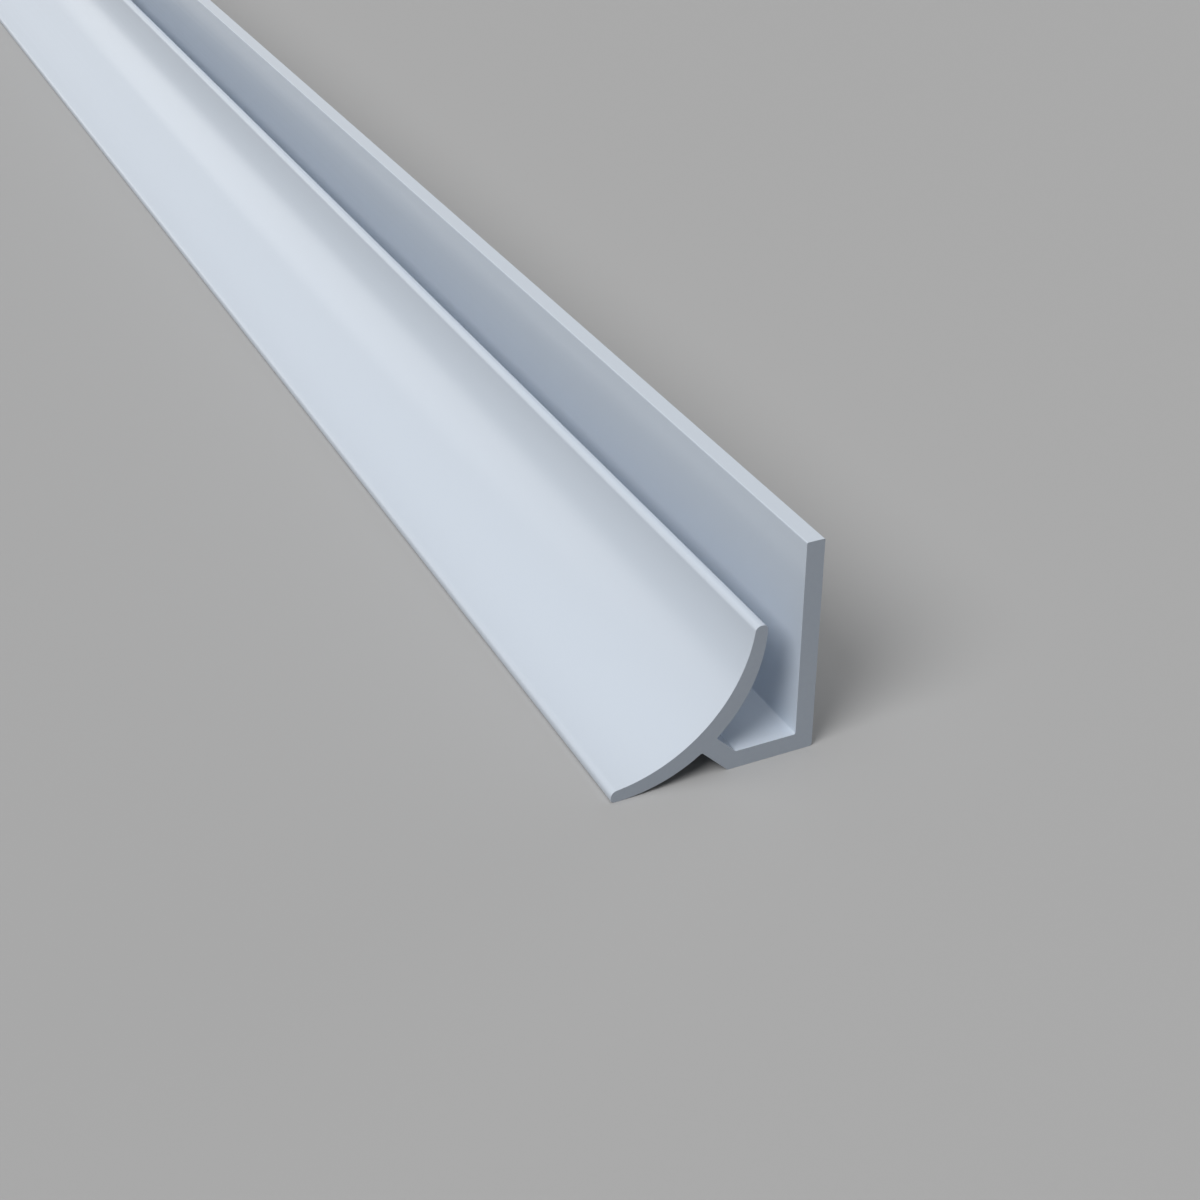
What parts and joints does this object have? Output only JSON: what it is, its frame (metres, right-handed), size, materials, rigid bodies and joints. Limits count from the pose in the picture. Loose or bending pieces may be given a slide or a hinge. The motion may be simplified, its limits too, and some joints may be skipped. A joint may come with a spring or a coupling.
{
  "type": "pvc internal corner trim",
  "caption": "Extruded rigid PVC trim for an inside corner of wall panels: a concave cove on an angled web, beside a flat fixing flange, with a pocket between them for a panel's edge.",
  "frame": {"origin": "centre of the bounding box's bottom face: on the plane that the base web and the lower lip bear on, under the middle of the section, half way along the length", "axes": "+X to the wall that the flange is fixed to, +Y along the extrusion away from the end that the picture shows, +Z from the base web up the flange"},
  "size_m": [0.0168, 2.44, 0.018],
  "materials": {
    "white_pvc": "satin, extruded"
  },
  "bodies": {
    "root": {"corner_trim": "white_pvc"}
  },
  "joints": []
}
